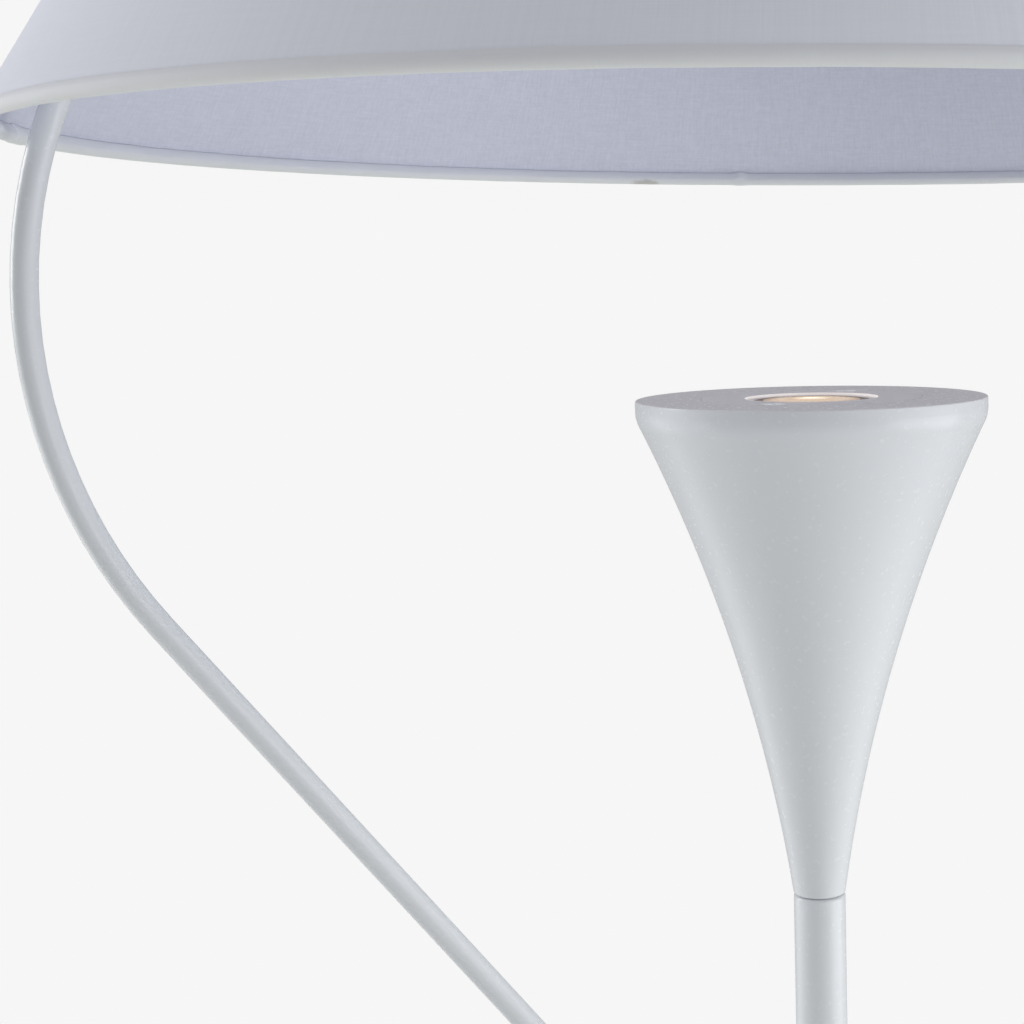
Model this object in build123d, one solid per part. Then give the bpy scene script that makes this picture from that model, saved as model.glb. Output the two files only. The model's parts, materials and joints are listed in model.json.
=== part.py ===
from build123d import *
import math
import os

# A floor lamp on three thin legs. A trumpet-shaped uplighter stands on a short stem, and a bent rod
# rises from the hub to carry a wide conical fabric shade above it. Millimetres, +Z up, the origin is
# on the floor under the stem. The rod leaves the hub towards -X and the first leg points to +X.

# ---- driving dimensions -------------------------------------------------------------------------
TRUMPET_TOP = 1326.5      # flat top of the uplighter above the floor
TRUMPET_R = 73.5
TRUMPET_HEIGHT = 212.0
NECK_R = 11.15            # foot of the trumpet
NECK_GAP = 0.9            # shadow groove between the trumpet and the stem
STEM_R = 11.1
STEM_WALL = 2.5

RIM_RISE = 102.0          # shade rim above the trumpet's top
SHADE_RIM_R = 311.5
SHADE_HEIGHT = 218.5
SHADE_SLOPE = 30.1        # shade wall from its axis, degrees
DROOP = 0.94              # the arm's end and the shade dip away from the bend, degrees
HEM_R = 2.8               # half the thickness of the rolled hem
RING_R = 1.9              # shade ring wire
SPOKE_R = 2.0
SPOKES = 3

ARM_R = 5.1
ARM_LEAN = 37.8           # lower run of the arm from the vertical, degrees
ARM_CROSS_DROP = 419.0    # where the arm's line meets the stem's axis, below the trumpet's top
ARM_STRAIGHT = 427.0      # along the arm from that point to the bend
ARM_BEND_R = 205.0
ARM_END_R = 9.2           # the arm's lower end, from the stem's axis

LEG_R = 6.0
LEG_COUNT = 3
FOOT_CIRCLE_R = 303.0     # where the legs' axes meet the floor

HUB_TOP_R = 21.0
HUB_BOTTOM_R = 34.0
HUB_UP = 52.0             # hub top above the arm's crossing point
HUB_DOWN = 70.0           # hub bottom below it
BASE_HEIGHT = 35.0        # lower block of the hub, which holds the legs
LEG_HUB_R = 24.0          # legs' axes at the hub's bottom face

SLIP = 0.05               # radial gap of a fixed rod in its hole
TURN_GAP = 0.3            # radial gap of a turning piece round its pin

# ---- sizes worked out from them -----------------------------------------------------------------
CROSS_Z = TRUMPET_TOP - ARM_CROSS_DROP
HUB_TOP = CROSS_Z + HUB_UP
HUB_BOTTOM = CROSS_Z - HUB_DOWN
SPLIT_Z = HUB_BOTTOM + BASE_HEIGHT
HUB_TAPER = (HUB_BOTTOM_R - HUB_TOP_R) / (HUB_TOP - HUB_BOTTOM)
NECK_Z = TRUMPET_TOP - TRUMPET_HEIGHT
STEM_TOP = NECK_Z - NECK_GAP
STEM_BORE_R = STEM_R - STEM_WALL
STEM_FOOT = CROSS_Z + 27.0
CAVITY_TOP = CROSS_Z - 2.0
CAVITY_R = 20.0
RIM_Z = TRUMPET_TOP + RIM_RISE
SHADE_TOP = RIM_Z + SHADE_HEIGHT
SLOPE = math.radians(SHADE_SLOPE)
RING_RIM_R = SHADE_RIM_R - HEM_R
RING_RIM_Z = RIM_Z + HEM_R
RING_TOP_Z = SHADE_TOP - HEM_R
RING_TOP_R = RING_RIM_R - (RING_TOP_Z - RING_RIM_Z) * math.tan(SLOPE)
LEAN = math.radians(ARM_LEAN)
LEG_SPREAD = (FOOT_CIRCLE_R - LEG_HUB_R) / HUB_BOTTOM
LEG_ANGLES = [n * 360.0 / LEG_COUNT for n in range(LEG_COUNT)]
SPOKE_ANGLES = [60.0 + n * 360.0 / SPOKES for n in range(SPOKES)]
BEND_START = (-ARM_STRAIGHT * math.sin(LEAN), CROSS_Z + ARM_STRAIGHT * math.cos(LEAN))
BEND_CENTRE_X = BEND_START[0] + ARM_BEND_R * math.cos(LEAN)
BEND_CENTRE_Z = BEND_START[1] + ARM_BEND_R * math.sin(LEAN)
SAG = math.radians(DROOP)
BEND_END = (BEND_CENTRE_X + ARM_BEND_R * math.sin(SAG), BEND_CENTRE_Z + ARM_BEND_R * math.cos(SAG))
HEAD_Z = BEND_END[1] + BEND_END[0] * math.tan(SAG)

# ---- uplighter ----------------------------------------------------------------------------------
BAND_CORNER = 7.6         # foot of the upright band round the trumpet's top
WALL = 3.3
FLARE = [(70.5, -13.8), (34.45, -107.6), (NECK_R, -TRUMPET_HEIGHT)]
COVER_R = 46.4
COVER_T = 2.5
LAMP_HOLE_R = 27.7
COVER_SCREW_R = 39.7
COVER_SCREW_TURN = 54.5   # where the first cover screw is, degrees
COVER_SLOT_TURN = -13.0   # where the first lifting slot is
LIP_R = 35.3
LIP_T = 2.5
LAMP_R = 25.0
LENS_R = 20.5
LENS_DROP = 0.9           # the lens's edge below the trumpet's top
LENS_RISE = 0.8           # how far the lens is domed
LAMP_HEIGHT = 54.0
HOLDER_HEIGHT = 16.0
STRAP_T = 1.5
STRAP_HALF = 32.5
STRAP_WIDTH = 16.0
CABLE_R = 2.5
THREAD_R = 5.0

# ---- hub fittings -------------------------------------------------------------------------------
BUTTON_Z = CROSS_Z - 18.0
BUTTON_R = 6.0
BEZEL_R = 9.0
BEZEL_FACE = -26.5
BEZEL_T = 3.0
GLAND_R = 6.0
GLAND_BORE_R = 3.3
GLAND_LENGTH = 23.0
GLAND_FLANGE = 3.0
WIREWAY_R = 4.0
GRUB_R = 2.5
GRUB_LENGTH = 6.0
CAP_SCREW_R = 2.0
CAP_SCREW_LENGTH = 44.0
CAP_HEAD_R = 3.5
CAP_HEAD_H = 4.0
CAP_SCREW_CIRCLE = 24.9

# ---- arm head and shade fitting -----------------------------------------------------------------
HEAD_R = 10.0
HEAD_HALF = 14.0
STUB_R = 5.0
STUB_LENGTH = 14.0
WASHER_T = 1.0
PLATE_T = 2.0
PLATE_R = 16.0
NUT_HEIGHT = 14.0

UP = (Align.CENTER, Align.CENTER, Align.MIN)


def at(radius, degrees, z):
    """A point at a distance from the stem's axis, in a direction, at a height."""
    return (radius * math.cos(math.radians(degrees)), radius * math.sin(math.radians(degrees)), z)


def rod(start, end, radius):
    """A round bar between two points."""
    run = Vector(*end) - Vector(*start)
    return Plane(origin=start, z_dir=run) * Cylinder(radius, run.length, align=UP)


def tube(outer, inner, low, high):
    """An upright pipe."""
    body = Pos(0, 0, low) * Cylinder(outer, high - low, align=UP)
    return body - Pos(0, 0, low) * Cylinder(inner, high - low, align=UP)


def turned(points):
    """A solid turned about the stem's axis from a closed outline of (radius, height) points."""
    return revolve(Plane.XZ * make_face(Polyline(points + points[:1])), Axis.Z)


def round_edge(body, radius, z):
    """The circular edge of a body at a radius and height."""
    return body.edges().filter_by(GeomType.CIRCLE).sort_by_distance((radius, 0, z))[0]


def drooped(body):
    """A body drawn level round the arm's head, tipped with the arm's end."""
    return Pos(0, 0, HEAD_Z) * Rot(0, DROOP, 0) * Pos(0, 0, -HEAD_Z) * body


def below_head(drop):
    """A point on the shade's axis, under the middle of the arm's head."""
    return (-drop * math.sin(SAG), 0.0, HEAD_Z - drop * math.cos(SAG))


def hub_radius(z):
    return HUB_TOP_R + (HUB_TOP - z) * HUB_TAPER


def leg_radius(z):
    return LEG_HUB_R + (HUB_BOTTOM - z) * LEG_SPREAD


def leg_point(z, degrees):
    return at(leg_radius(z), degrees, z)


def arm_point(radius):
    """A point on the arm's lower run, by its distance from the stem's axis."""
    return (-radius, 0.0, CROSS_Z + radius / math.tan(LEAN))


# ---- fasteners ----------------------------------------------------------------------------------
def cross_slot(width, length, depth):
    """A cross recess, cut down from the origin's plane."""
    arm = Pos(0, 0, -depth / 2) * Box(length, width, depth)
    return arm + Rot(0, 0, 90) * arm


def hex_socket(across, depth):
    return Pos(0, 0, -depth) * extrude(RegularPolygon(across / math.sqrt(3), 6), depth)


def countersunk_screw(shank, head, length):
    """A cross-head screw with its face on the origin's plane, pointing down."""
    cone_h = head - shank
    body = Pos(0, 0, -length) * Cylinder(shank, length, align=UP)
    body += Pos(0, 0, -cone_h) * Cone(shank, head, cone_h, align=UP)
    return body - cross_slot(1.1, 5.4, 1.4)


def grub_screw():
    """A socket set screw with its outer end on the origin's plane, pointing down."""
    body = Pos(0, 0, -GRUB_LENGTH) * Cylinder(GRUB_R - SLIP, GRUB_LENGTH, align=UP)
    return body - hex_socket(2.5, 2.5)


def cap_screw():
    """A socket head screw whose head rests on the origin's plane, pointing up."""
    body = Cylinder(CAP_SCREW_R - SLIP, CAP_SCREW_LENGTH, align=UP)
    head = Pos(0, 0, -CAP_HEAD_H) * Cylinder(CAP_HEAD_R, CAP_HEAD_H, align=UP)
    return body + head - Rot(180, 0, 0) * Pos(0, 0, CAP_HEAD_H) * hex_socket(3.0, 2.4)


def pan_screw(shank, head, length):
    """A pan head screw whose head rests under the origin's plane, pointing up."""
    body = Cylinder(shank, length, align=UP)
    dome = Pos(0, 0, -2.0) * Cylinder(head, 2.0, align=UP)
    dome = fillet(dome.edges().sort_by(Axis.Z)[0], 0.9)
    return body + dome - Rot(180, 0, 0) * Pos(0, 0, 2.0) * cross_slot(0.8, 3.4, 1.0)


# ---- stem and uplighter -------------------------------------------------------------------------
def flare(inset):
    """The trumpet's curved side, moved inwards by a wall."""
    return [(r - inset, TRUMPET_TOP + z) for r, z in FLARE]


def trumpet_shell():
    top, bend, foot = flare(0)
    side = ThreePointArc(top, bend, foot)
    outline = Polyline(
        foot,
        (0, foot[1]),
        (0, TRUMPET_TOP),
        (TRUMPET_R, TRUMPET_TOP),
        (TRUMPET_R, TRUMPET_TOP - BAND_CORNER),
        top,
    )
    outer = revolve(Plane.XZ * make_face([side, outline]), Axis.Z)
    outer = fillet(round_edge(outer, TRUMPET_R, TRUMPET_TOP - BAND_CORNER), 14.0)
    outer = fillet(round_edge(outer, TRUMPET_R, TRUMPET_TOP), 0.6)

    floor_z = NECK_Z + 29.5
    top_in, bend_in, foot_in = flare(WALL)
    floor_edge = (12.6, floor_z)
    inside = ThreePointArc(top_in, bend_in, floor_edge)
    hollow = Polyline(
        floor_edge,
        (0, floor_z),
        (0, TRUMPET_TOP - COVER_T - LIP_T),
        (COVER_R + 3.0, TRUMPET_TOP - COVER_T - LIP_T),
        (COVER_R + 3.0, TRUMPET_TOP - 3.0),
        (TRUMPET_R - WALL, TRUMPET_TOP - 3.0),
        (TRUMPET_R - WALL, TRUMPET_TOP - BAND_CORNER),
        top_in,
    )
    shell = outer - revolve(Plane.XZ * make_face([inside, hollow]), Axis.Z)
    shell -= Pos(0, 0, TRUMPET_TOP - COVER_T) * Cylinder(COVER_R, COVER_T, align=UP)
    shell -= Pos(0, 0, TRUMPET_TOP - 10) * Cylinder(LIP_R, 10, align=UP)
    shell -= Pos(0, 0, NECK_Z) * Cylinder(THREAD_R + SLIP, 40, align=UP)
    for turn in (0, 180):
        place = at(COVER_SCREW_R, COVER_SCREW_TURN + turn, TRUMPET_TOP - 10)
        shell -= Pos(*place) * Cylinder(2.1, 10, align=UP)
    return shell


def lamp_cover():
    """The disc over the lamp, with its two screw holes and two slots for lifting it out."""
    disc = tube(COVER_R - 0.2, LAMP_HOLE_R, TRUMPET_TOP - COVER_T, TRUMPET_TOP)
    for turn in (0, 180):
        place = at(COVER_SCREW_R, COVER_SCREW_TURN + turn, TRUMPET_TOP)
        disc -= Pos(*place) * Pos(0, 0, -2.4) * Cone(2.15, 4.55, 2.4, align=UP)
        disc -= Pos(*place) * Pos(0, 0, -COVER_T) * Cylinder(2.15, COVER_T, align=UP)
        slot = at(COVER_R, turn + COVER_SLOT_TURN, TRUMPET_TOP - 0.6)
        disc -= Pos(*slot) * Rot(0, 0, turn + COVER_SLOT_TURN) * Box(1.6, 3.0, 1.2)
    return disc


def cover_screws():
    screws = []
    for turn in (0, 180):
        place = at(COVER_SCREW_R, COVER_SCREW_TURN + turn, TRUMPET_TOP)
        screws.append(Pos(*place) * countersunk_screw(2.0, 4.4, 9.0))
    return screws


def lamp_strap():
    """The bent steel strap that hangs the lamp holder under the cover."""
    top = TRUMPET_TOP - COVER_T - LIP_T
    low = TRUMPET_TOP - LENS_DROP - LAMP_HEIGHT - HOLDER_HEIGHT - STRAP_T
    bridge = Pos(0, 0, low) * Box(2 * STRAP_HALF, STRAP_WIDTH, STRAP_T, align=UP)
    strap = bridge
    for side in (-1, 1):
        upright = Pos(side * STRAP_HALF, 0, low) * Box(STRAP_T, STRAP_WIDTH, top - low, align=UP)
        tab = Pos(side * (STRAP_HALF + 6.0), 0, top - STRAP_T) * Box(13.5, STRAP_WIDTH, STRAP_T, align=UP)
        strap = strap + upright + tab
        strap -= Pos(side * COVER_SCREW_R, 0, low) * Cylinder(2.05, top, align=UP)
        strap -= Pos(side * 8.0, 0, low) * Cylinder(1.55, STRAP_T, align=UP)
    strap -= Pos(0, 0, low) * Cylinder(WIREWAY_R, STRAP_T, align=UP)
    return Rot(0, 0, COVER_SCREW_TURN) * strap


def lamp_holder():
    """The ceramic socket: a drum with two keyhole sockets for the lamp's pins."""
    top = TRUMPET_TOP - LENS_DROP - LAMP_HEIGHT
    drum = Pos(0, 0, top - HOLDER_HEIGHT) * Cylinder(13.0, HOLDER_HEIGHT, align=UP)
    drum = chamfer(drum.edges().sort_by(Axis.Z)[-1], 1.0)
    drum -= Pos(0, 0, top - HOLDER_HEIGHT) * Cylinder(2.8, 4.0, align=UP)
    for side in (-1, 1):
        drum -= Pos(side * 5.0, 0, top - 9.0) * Cylinder(2.7, 9.0, align=UP)
        drum -= Pos(side * 8.0, 0, top - HOLDER_HEIGHT) * Cylinder(1.3, 5.5, align=UP)
    return Rot(0, 0, COVER_SCREW_TURN) * drum


def holder_screws():
    low = TRUMPET_TOP - LENS_DROP - LAMP_HEIGHT - HOLDER_HEIGHT - STRAP_T
    return [Pos(*at(8.0, COVER_SCREW_TURN + turn, low)) * pan_screw(1.25, 2.8, 6.5) for turn in (0, 180)]


def lamp_body():
    """The lamp's housing: a bezel, a ribbed cone and a base."""
    top = TRUMPET_TOP - LENS_DROP - 0.2
    low = TRUMPET_TOP - LENS_DROP - LAMP_HEIGHT
    outline = [
        (0, low),
        (10.5, low),
        (11.0, low + 1.0),
        (11.0, low + 11.0),
        (13.5, low + 13.0),
        (19.5, low + 32.0),
        (24.2, low + 43.5),
        (LAMP_R, low + 45.0),
        (LAMP_R, top - 0.8),
        (LAMP_R - 0.8, top),
        (LENS_R + 0.1, top),
        (LENS_R + 0.1, top - 3.8),
        (0, top - 3.8),
    ]
    body = turned(outline)
    for rib in range(12):
        groove = Pos(24.6, 0, low + 26.0) * Rot(0, 26, 0) * Box(6.0, 2.2, 24.0)
        body -= Rot(0, 0, rib * 30.0 + 15.0) * groove
    return body


def lamp_pins():
    """The lamp's two twist-lock pins."""
    top = TRUMPET_TOP - LENS_DROP - LAMP_HEIGHT
    pins = []
    for turn in (0, 180):
        place = Pos(*at(5.0, COVER_SCREW_TURN + turn, top))
        stem = place * Pos(0, 0, -7.0) * Cylinder(1.4, 7.0, align=UP)
        pins.append(stem + place * Pos(0, 0, -7.0) * Cylinder(2.4, 2.2, align=UP))
    return pins


def lamp_lens():
    """A domed lens that fills the lamp's bezel."""
    face = TRUMPET_TOP - LENS_DROP
    dome_r = (LENS_R ** 2 + LENS_RISE ** 2) / (2 * LENS_RISE)
    dome = Pos(0, 0, face + LENS_RISE - dome_r) * Sphere(dome_r)
    return dome & Pos(0, 0, face - 4.0) * Cylinder(LENS_R, 6.0, align=UP)


def neck_plug():
    """The turned plug that joins the trumpet to the stem, bored for the cable."""
    body = Pos(0, 0, STEM_TOP - 24.0) * Cylinder(STEM_BORE_R - SLIP, 24.0 + NECK_GAP, align=UP)
    body += Pos(0, 0, NECK_Z) * Cylinder(THREAD_R, 38.5, align=UP)
    return body - Pos(0, 0, STEM_TOP - 24.0) * Cylinder(3.2, 80.0, align=UP)


def neck_nut():
    hexagon = Pos(0, 0, NECK_Z + 29.5) * extrude(RegularPolygon(17.0 / math.sqrt(3), 6), 7.0)
    return hexagon - Pos(0, 0, NECK_Z) * Cylinder(THREAD_R + SLIP, 60.0, align=UP)


def stem_tube():
    pipe = tube(STEM_R, STEM_BORE_R, STEM_FOOT, STEM_TOP)
    return fillet(round_edge(pipe, STEM_R, STEM_TOP), 1.2)


def stem_cable():
    """The flex inside the stem, from the hub's chamber up to the lamp holder."""
    low = SPLIT_Z + 10.0
    high = TRUMPET_TOP - LENS_DROP - LAMP_HEIGHT - HOLDER_HEIGHT + 3.0
    return Pos(0, 0, low) * Cylinder(CABLE_R, high - low, align=UP)


# ---- hub ----------------------------------------------------------------------------------------
def hub_body():
    """The upper part of the hub: it holds the stem and the arm, over a chamber for the wiring."""
    cone = Pos(0, 0, SPLIT_Z) * Cone(hub_radius(SPLIT_Z), HUB_TOP_R, HUB_TOP - SPLIT_Z, align=UP)
    body = fillet(cone.edges().sort_by(Axis.Z)[-1], 3.0)
    body -= Pos(0, 0, SPLIT_Z) * Cylinder(CAVITY_R, CAVITY_TOP - SPLIT_Z, align=UP)
    body -= Pos(0, 0, STEM_FOOT) * Cylinder(STEM_R + SLIP, HUB_TOP - STEM_FOOT, align=UP)
    body -= Pos(0, 0, SPLIT_Z) * Cylinder(WIREWAY_R, STEM_FOOT - SPLIT_Z, align=UP)
    body -= rod(arm_point(ARM_END_R - 0.2), arm_point(40.0), ARM_R + SLIP)
    body -= rod((0, BEZEL_FACE, BUTTON_Z), (0, -60, BUTTON_Z), BEZEL_R + 0.5)
    body -= rod((0, -15, BUTTON_Z), (0, BEZEL_FACE, BUTTON_Z), BUTTON_R + 0.5)
    for n in range(LEG_COUNT):
        hole = at(CAP_SCREW_CIRCLE, 60.0 + LEG_ANGLES[n], SPLIT_Z)
        body -= Pos(*hole) * Cylinder(CAP_SCREW_R, 16.0, align=UP)
    for inner, outer in grub_lines()[:2]:
        body -= rod(inner, outer, GRUB_R)
    return body


def hub_base():
    """The lower part of the hub: it holds the legs and the cord's gland."""
    body = Pos(0, 0, HUB_BOTTOM) * Cone(HUB_BOTTOM_R, hub_radius(SPLIT_Z), BASE_HEIGHT, align=UP)
    body = fillet(body.edges().sort_by(Axis.Z)[0], 2.5)
    body -= Pos(0, 0, HUB_BOTTOM) * Cylinder(WIREWAY_R, BASE_HEIGHT, align=UP)
    body -= Pos(0, 0, HUB_BOTTOM) * Cylinder(GLAND_R + SLIP, GLAND_LENGTH, align=UP)
    for degrees in LEG_ANGLES:
        body -= rod(leg_point(HUB_BOTTOM - 20, degrees), leg_point(SPLIT_Z - 6, degrees), LEG_R + SLIP)
        foot = Pos(*at(CAP_SCREW_CIRCLE, degrees + 60.0, HUB_BOTTOM))
        body -= foot * Cylinder(CAP_SCREW_R + 0.1, BASE_HEIGHT, align=UP)
        body -= foot * Cylinder(CAP_HEAD_R + 0.3, CAP_HEAD_H + 0.5, align=UP)
    for inner, outer in grub_lines()[2:]:
        body -= rod(inner, outer, GRUB_R)
    return body


def hub_screws():
    rests = [at(CAP_SCREW_CIRCLE, degrees + 60.0, HUB_BOTTOM + CAP_HEAD_H + 0.5) for degrees in LEG_ANGLES]
    return [Pos(*rest) * cap_screw() for rest in rests]


def grub_lines():
    """Where each set screw in the hub starts, against its rod, and where its hole opens."""
    stem_z = CROSS_Z + 40.0
    lines = [((0, STEM_R, stem_z), (0, 40, stem_z))]
    grip = arm_point(16.0)
    lines.append(((grip[0], -ARM_R, grip[2]), (grip[0], -40, grip[2])))
    leg_z = HUB_BOTTOM + 17.0
    for degrees in LEG_ANGLES:
        lines.append((at(leg_radius(leg_z) + LEG_R + 1.1, degrees, leg_z), at(45.0, degrees, leg_z)))
    return lines


def grub_screws():
    """Six equal set screws: stem, arm, three legs and the arm's head."""
    screws = []
    lines = grub_lines()
    lines.append((below_head(ARM_R), below_head(30.0)))
    for inner, outer in lines:
        out = Vector(*outer) - Vector(*inner)
        seat = Vector(*inner) + out.normalized() * GRUB_LENGTH
        screws.append(Plane(origin=seat, z_dir=out) * grub_screw())
    return screws


def cord_gland():
    """The bush where a supply cord enters the hub from below."""
    body = Pos(0, 0, HUB_BOTTOM) * Cylinder(GLAND_R, GLAND_LENGTH, align=UP)
    flange = Pos(0, 0, HUB_BOTTOM - GLAND_FLANGE) * Cylinder(9.0, GLAND_FLANGE, align=UP)
    flange = fillet(flange.edges().sort_by(Axis.Z)[0], 1.2)
    return body + flange - Pos(0, 0, HUB_BOTTOM - 10) * Cylinder(GLAND_BORE_R, 60, align=UP)


def dimmer_module():
    """The push-button dimmer: a case in the hub's chamber and a collar behind the button."""
    case = Pos(0, -10.5, BUTTON_Z) * Box(18.0, 14.0, 22.0)
    case = fillet(case.edges().filter_by(Axis.Z), 1.5)
    collar = rod((0, -17.5, BUTTON_Z), (0, -22.5, BUTTON_Z), BUTTON_R)
    return case + collar - rod((0, -18.5, BUTTON_Z), (0, -23.0, BUTTON_Z), 2.4)


def terminal_block():
    """The two-way terminal block behind the dimmer."""
    low = SPLIT_Z + 2.0
    block = Pos(0, 9.5, low) * Box(17.0, 11.0, 14.0, align=UP)
    for side in (-1, 1):
        block -= Pos(side * 4.2, 9.5, low + 7.0) * Cylinder(2.2, 7.0, align=UP)
        block -= rod((side * 4.2, 0, low + 4.5), (side * 4.2, 20, low + 4.5), 1.6)
    return block


def button_bezel():
    ring = Cylinder(BEZEL_R, BEZEL_T, align=UP) - Cylinder(BUTTON_R + TURN_GAP, BEZEL_T, align=UP)
    ring = fillet(round_edge(ring, BEZEL_R, BEZEL_T), 1.0)
    return Plane(origin=(0, BEZEL_FACE, BUTTON_Z), z_dir=(0, -1, 0)) * ring


def dimmer_button():
    """The push button and its plunger, which travels into the hub."""
    cap = Cylinder(BUTTON_R, 6.6, align=UP)
    cap = fillet(cap.edges().sort_by(Axis.Z)[-1], 1.2)
    plunger = Pos(0, 0, -3.6) * Cylinder(2.0, 3.6, align=UP)
    return Plane(origin=(0, -24.5, BUTTON_Z), z_dir=(0, -1, 0)) * (cap + plunger)


# ---- legs ---------------------------------------------------------------------------------------
LEG_TOP_Z = SPLIT_Z - 6.3
LEG_END_Z = 9.0
TIP_HEIGHT = 34.0
TIP_TOP_R = 8.5
TIP_FLOOR_R = 11.0


def leg(degrees):
    return rod(leg_point(LEG_TOP_Z, degrees), leg_point(LEG_END_Z, degrees), LEG_R)


def foot_tip(degrees):
    """A rubber tip over the end of a leg, flat on the floor."""
    low = leg_point(-12.0, degrees)
    high = leg_point(TIP_HEIGHT, degrees)
    run = Vector(*high) - Vector(*low)
    tip = Plane(origin=low, z_dir=run) * Cone(TIP_FLOOR_R, TIP_TOP_R, run.length, align=UP)
    tip = fillet(tip.edges().sort_by(Axis.Z)[-1], 1.5)
    tip -= Pos(0, 0, -50) * Cylinder(400, 50, align=UP)
    return tip - rod(leg_point(LEG_END_Z, degrees), leg_point(TIP_HEIGHT + 10, degrees), LEG_R + SLIP)


# ---- arm ----------------------------------------------------------------------------------------
def arm_rod():
    """One round bar: a straight run out of the hub, one even bend, and a nearly level run back to
    the stem's axis."""
    start = arm_point(ARM_END_R)
    lower = Line((start[0], start[2]), BEND_START)
    bend = JernArc(BEND_START, (-math.sin(LEAN), math.cos(LEAN)), ARM_BEND_R, -(90.0 + ARM_LEAN + DROOP))
    upper = Line(BEND_END, (3.5 * math.cos(SAG), HEAD_Z - 3.5 * math.sin(SAG)))
    path = Plane.XZ * Wire([lower, bend, upper])
    section = Plane(origin=start, z_dir=(-math.sin(LEAN), 0, math.cos(LEAN))) * Circle(ARM_R)
    return sweep(section, path=path)


def arm_head():
    """The turned block on the arm's end, with the threaded stub that the shade sits on."""
    low = HEAD_Z - HEAD_HALF
    body = Pos(0, 0, low) * Cylinder(HEAD_R, 2 * HEAD_HALF, align=UP)
    body = fillet(body.edges().filter_by(GeomType.CIRCLE), 1.5)
    body += Pos(0, 0, HEAD_Z) * Cylinder(STUB_R, HEAD_HALF + STUB_LENGTH, align=UP)
    body -= rod((-20, 0, HEAD_Z), (3.7, 0, HEAD_Z), ARM_R + SLIP)
    return body - rod((0, 0, low - 5), (0, 0, HEAD_Z), GRUB_R)


PLATE_Z = HEAD_Z + HEAD_HALF + WASHER_T


def shade_washers():
    """Two nylon washers that grip the shade's plate."""
    rests = (PLATE_Z - WASHER_T, PLATE_Z + PLATE_T + 0.1)
    return [tube(8.5, STUB_R + SLIP, rest, rest + WASHER_T) for rest in rests]


def shade_nut():
    """The domed nut that holds the shade down."""
    low = PLATE_Z + PLATE_T + 0.1 + WASHER_T
    high = low + NUT_HEIGHT
    dome = turned([(0, low), (11.0, low), (11.0, low + 5.0), (9.5, low + 9.5), (5.5, high), (0, high)])
    dome = fillet(dome.edges().filter_by(GeomType.CIRCLE).sort_by(Axis.Z)[1:3], 1.0)
    return dome - Pos(0, 0, low - 1) * Cylinder(STUB_R + SLIP, 11.5, align=UP)


# ---- shade --------------------------------------------------------------------------------------
def wall_point(along, offset):
    """A point of the shade's wall: along the slope from the lower ring's centre, and out from the
    line between the two rings' centres."""
    radius = RING_RIM_R - along * math.sin(SLOPE) + offset * math.cos(SLOPE)
    height = RING_RIM_Z + along * math.cos(SLOPE) + offset * math.sin(SLOPE)
    return (radius, height)


WALL_START = 2.6
WALL_END = (RING_TOP_Z - RING_RIM_Z) / math.cos(SLOPE) - WALL_START
LINING_IN = 1.8
LINING_OUT = 2.35
COVER_IN = 2.4


def shade_sheet(inner, outer):
    """A conical sheet between two offsets from the rings' line."""
    corners = [
        wall_point(WALL_START, inner),
        wall_point(WALL_START, outer),
        wall_point(WALL_END, outer),
        wall_point(WALL_END, inner),
    ]
    return turned(corners)


def wire_ring(radius, z, wire):
    return Pos(0, 0, z) * Torus(radius, wire)


def hem(radius, z):
    """A rolled fabric hem round a ring."""
    return wire_ring(radius, z, HEM_R) - wire_ring(radius, z, RING_R + SLIP)


def spokes():
    """The straight wires from the shade's plate up to its upper ring."""
    wires = []
    for degrees in SPOKE_ANGLES:
        inner = at(PLATE_R - 3.0, degrees, PLATE_Z + PLATE_T + SPOKE_R - 0.6)
        wires.append(rod(inner, at(RING_TOP_R, degrees, RING_TOP_Z), SPOKE_R))
    return wires


def spider():
    plate = tube(PLATE_R, STUB_R + TURN_GAP, PLATE_Z, PLATE_Z + PLATE_T)
    for wire in spokes():
        plate += wire
    return plate - wire_ring(RING_TOP_R, RING_TOP_Z, RING_R)


def top_hem():
    """The upper hem, in equal lengths between the spokes."""
    section = Plane.XZ * Pos(RING_TOP_R, RING_TOP_Z) * (Circle(HEM_R) - Circle(RING_R + SLIP))
    gap = math.degrees((SPOKE_R + 0.2) / RING_TOP_R)
    length = revolve(section, Axis.Z, revolution_arc=360.0 / SPOKES - 2 * gap)
    return [Rot(0, 0, degrees + gap) * length for degrees in SPOKE_ANGLES]


def seam_tape():
    """The strip over the shade's one upright joint, inside the lining at the side away from the arm."""
    strip = shade_sheet(LINING_IN - 0.4, LINING_IN - 0.05)
    return strip & Pos(SHADE_RIM_R - 90, 0, RIM_Z) * Box(260, 14, 2 * SHADE_HEIGHT)


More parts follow.
